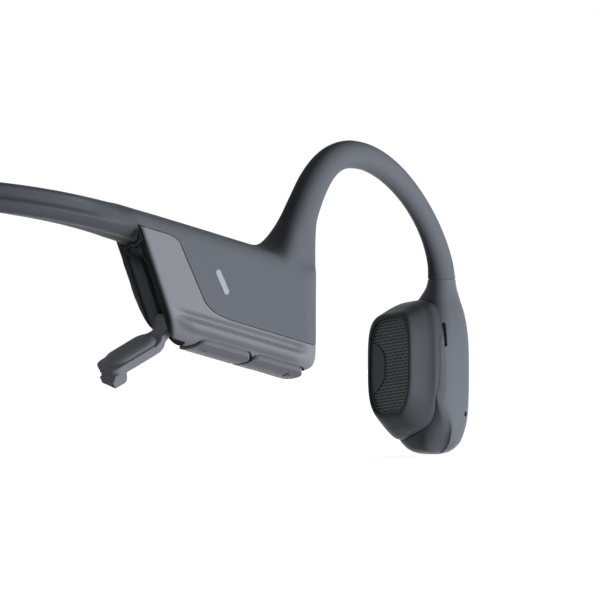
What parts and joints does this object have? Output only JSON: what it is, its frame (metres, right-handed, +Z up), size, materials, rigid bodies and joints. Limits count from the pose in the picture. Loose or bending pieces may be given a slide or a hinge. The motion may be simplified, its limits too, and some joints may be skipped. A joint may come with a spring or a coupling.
{
  "type": "bone conduction headphones",
  "caption": "Open-ear bone conduction headset: rear neckband joins control pods, ear hooks and cheekbone transducers; hinged charging port flap, sprung volume and multifunction buttons.",
  "frame": {"origin": "middle of the headset's footprint at the lowest point of the transducers", "axes": "+X to the wearer's right, +Y forwards towards the transducers, +Z up as worn"},
  "size_m": [0.1398, 0.1066, 0.0486],
  "materials": {
    "soft_skin": "dark slate grey silicone skin, matte",
    "hard_shell": "slate grey moulded plastic, fine satin texture",
    "spring_wire": "bright shape-memory alloy wire",
    "cable_jacket": "black cable jacket",
    "clamp_metal": "stamped metal saddle",
    "flap_rubber": "dark grey soft rubber, matte",
    "connector_steel": "drawn steel shell",
    "connector_core": "black moulded tongue",
    "contact_gold": "gold plated contacts",
    "key_plastic": "slate grey key caps, satin",
    "seal_rubber": "thin silicone membrane",
    "switch_body": "pale switch body",
    "circuit_board": "green solder mask",
    "shield_can": "tinned steel can",
    "light_emitter": "pale resin lens",
    "light_window": "milky light guide",
    "cell_foil": "aluminium laminate pouch",
    "transducer_shell": "slate grey moulded plastic, soft satin",
    "speaker_housing": "slate grey moulded plastic, satin",
    "speaker_grille": "dark grey coated mesh",
    "speaker_frame": "black moulded frame",
    "diaphragm_film": "thin dark film",
    "magnet": "nickel plated magnet",
    "pad_rubber": "dark grey silicone pad",
    "yoke_steel": "pressed steel cup",
    "coil_wire": "enamelled copper winding",
    "spring_leaf": "spring steel leaf"
  },
  "bodies": {
    "headset": {"neckband_sleeve": "soft_skin", "neckband_spring_wire": "spring_wire", "neckband_cable": "cable_jacket", "right_cover": "soft_skin", "right_housing": "hard_shell", "right_hook_wire": "spring_wire", "right_hook_cable": "cable_jacket", "right_wire_clamp": "clamp_metal", "left_cover": "soft_skin", "left_housing": "hard_shell", "left_hook_wire": "spring_wire", "left_hook_cable": "cable_jacket", "left_wire_clamp": "clamp_metal", "usb_shell": "connector_steel", "usb_tongue": "connector_core", "usb_contacts": "contact_gold", "button_seal": "seal_rubber", "volume_down_switch": "switch_body", "volume_up_switch": "switch_body", "switch_board": "circuit_board", "main_board": "circuit_board", "radio_module": "shield_can", "led_emitter": "light_emitter", "led_window": "light_window", "battery_cell": "cell_foil", "battery_board": "circuit_board", "right_transducer_shell": "transducer_shell", "right_speaker_housing": "speaker_housing", "right_speaker_grille": "speaker_grille", "right_speaker_frame": "speaker_frame", "right_speaker_diaphragm": "diaphragm_film", "right_speaker_magnet": "magnet", "right_contact_pad": "pad_rubber", "right_driver_yoke": "yoke_steel", "right_driver_magnet": "magnet", "right_driver_coil": "coil_wire", "right_driver_spring": "spring_leaf", "right_microphone": "shield_can", "left_transducer_shell": "transducer_shell", "left_speaker_housing": "speaker_housing", "left_speaker_grille": "speaker_grille", "left_speaker_frame": "speaker_frame", "left_speaker_diaphragm": "diaphragm_film", "left_speaker_magnet": "magnet", "left_contact_pad": "pad_rubber", "left_driver_yoke": "yoke_steel", "left_driver_magnet": "magnet", "left_driver_coil": "coil_wire", "left_driver_spring": "spring_leaf", "left_microphone": "shield_can", "multifunction_switch": "switch_body"},
    "port_cover": {"port_cover": "flap_rubber"},
    "volume_down_button": {"volume_down_button": "key_plastic"},
    "volume_up_button": {"volume_up_button": "key_plastic"},
    "multifunction_button": {"multifunction_button": "key_plastic"}
  },
  "joints": [
    {"name": "port_cover_hinge", "type": "hinge", "parent": "headset", "child": "port_cover", "pos_m": [0.05744, -0.01256, 0.02068], "axis": [0.9369, -0.2854, -0.2017], "range_deg": [-94, 24]},
    {"name": "volume_down_press", "type": "slide", "parent": "headset", "child": "volume_down_button", "axis": [-0.1612, 0.2831, 0.9454], "range_m": [0, 0.0004], "stiffness_N_per_m": 300},
    {"name": "volume_up_press", "type": "slide", "parent": "headset", "child": "volume_up_button", "axis": [-0.1612, 0.2831, 0.9454], "range_m": [0, 0.0004], "stiffness_N_per_m": 300},
    {"name": "multifunction_press", "type": "slide", "parent": "headset", "child": "multifunction_button", "axis": [0.9659, 0.2588, 0], "range_m": [0, 0.0004], "stiffness_N_per_m": 300}
  ]
}
